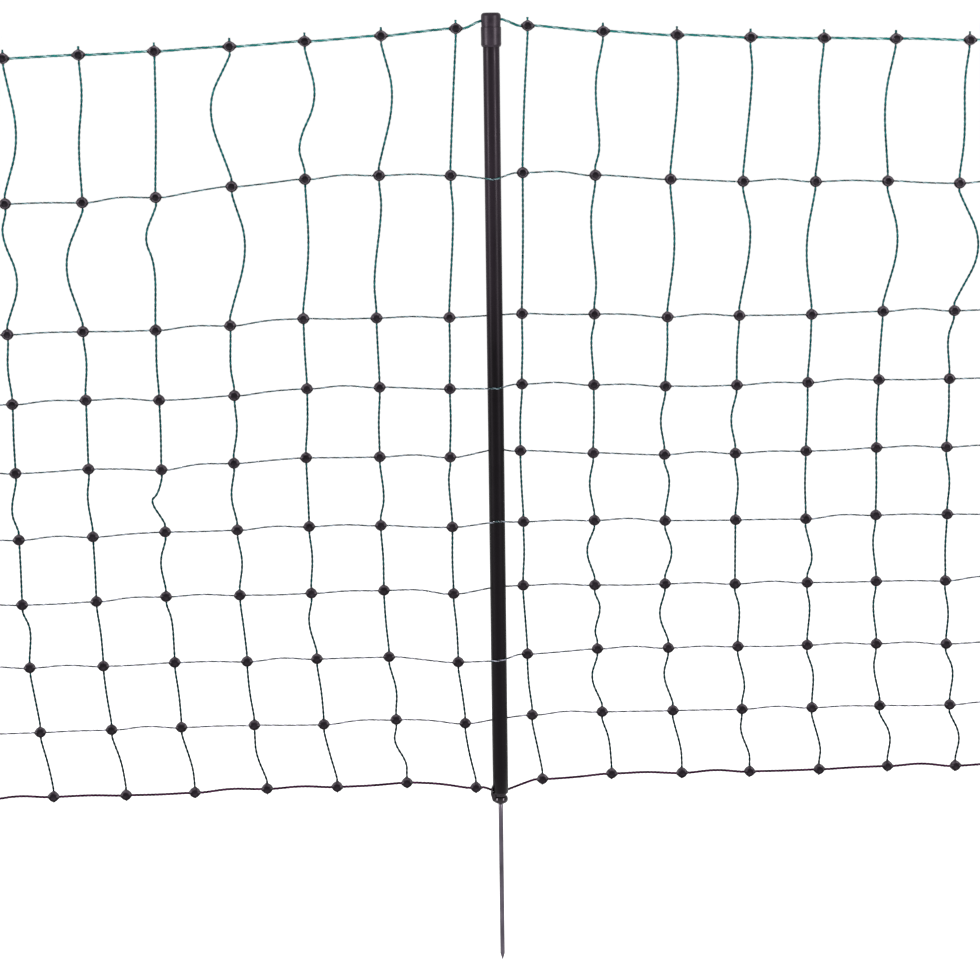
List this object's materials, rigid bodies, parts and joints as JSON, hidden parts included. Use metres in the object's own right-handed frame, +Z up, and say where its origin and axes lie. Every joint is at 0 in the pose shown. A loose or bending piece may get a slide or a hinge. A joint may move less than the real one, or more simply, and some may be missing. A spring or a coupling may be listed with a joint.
{
  "type": "electric poultry netting section",
  "caption": "Line post with a capped top and ground spike, tied to two wings of knotted electric poultry netting with twisted strands.",
  "frame": {"origin": "on the post's axis at the underside of its foot, where the spike starts and the ground lies", "axes": "+X along the net, +Z up along the post, the net's front faces -Y"},
  "size_m": [1.571, 0.0286, 1.3576],
  "materials": {
    "post_plastic": "satin extruded black",
    "cap_plastic": "satin moulded black",
    "foot_plastic": "glossy moulded black",
    "spike_steel": "dull drawn steel",
    "knot_plastic": "satin moulded black",
    "upright_twine": "two-ply twisted green twine",
    "top_line": "green polywire rope with a pale and steel fleck",
    "polywire": "pale grey-green polywire with steel strands",
    "bottom_line": "dark purple-black twisted rope"
  },
  "bodies": {
    "post": {"post_tube": "post_plastic", "spike": "spike_steel", "foot": "foot_plastic", "cap_sleeve": "cap_plastic", "line_seat": "cap_plastic"},
    "cap": {"top_cap": "cap_plastic"},
    "left_net": {"left_line_01": "top_line", "left_line_02": "polywire", "left_line_03": "polywire", "left_line_04": "polywire", "left_line_05": "polywire", "left_line_06": "polywire", "left_line_07": "polywire", "left_line_08": "polywire", "left_line_09": "polywire", "left_line_10": "bottom_line", "left_upright_1": "upright_twine", "left_upright_2": "upright_twine", "left_upright_3": "upright_twine", "left_upright_4": "upright_twine", "left_upright_5": "upright_twine", "left_upright_6": "upright_twine", "left_upright_7": "upright_twine", "left_upright_8": "upright_twine", "left_knots_top": "knot_plastic", "left_knots_middle": "knot_plastic", "left_knots_bottom": "knot_plastic", "left_post_spans": "polywire"},
    "right_net": {"right_line_01": "top_line", "right_line_02": "polywire", "right_line_03": "polywire", "right_line_04": "polywire", "right_line_05": "polywire", "right_line_06": "polywire", "right_line_07": "polywire", "right_line_08": "polywire", "right_line_09": "polywire", "right_line_10": "bottom_line", "right_upright_1": "upright_twine", "right_upright_2": "upright_twine", "right_upright_3": "upright_twine", "right_upright_4": "upright_twine", "right_upright_5": "upright_twine", "right_upright_6": "upright_twine", "right_upright_7": "upright_twine", "right_upright_8": "upright_twine", "right_knots_top": "knot_plastic", "right_knots_middle": "knot_plastic", "right_knots_bottom": "knot_plastic", "right_post_spans": "polywire"}
  },
  "joints": [
    {"name": "left_wing_swing", "type": "hinge", "parent": "post", "child": "left_net", "pos_m": [0, 0, 0], "axis": [0, 0, 1], "range_deg": [-75, 75], "deforming": ["left_post_spans"]},
    {"name": "right_wing_swing", "type": "hinge", "parent": "post", "child": "right_net", "pos_m": [0, 0, 0], "axis": [0, 0, 1], "range_deg": [-75, 75], "deforming": ["right_post_spans"]},
    {"name": "cap_lift", "type": "slide", "parent": "post", "child": "cap", "axis": [0, 0, 1], "range_m": [0, 0.04]}
  ]
}
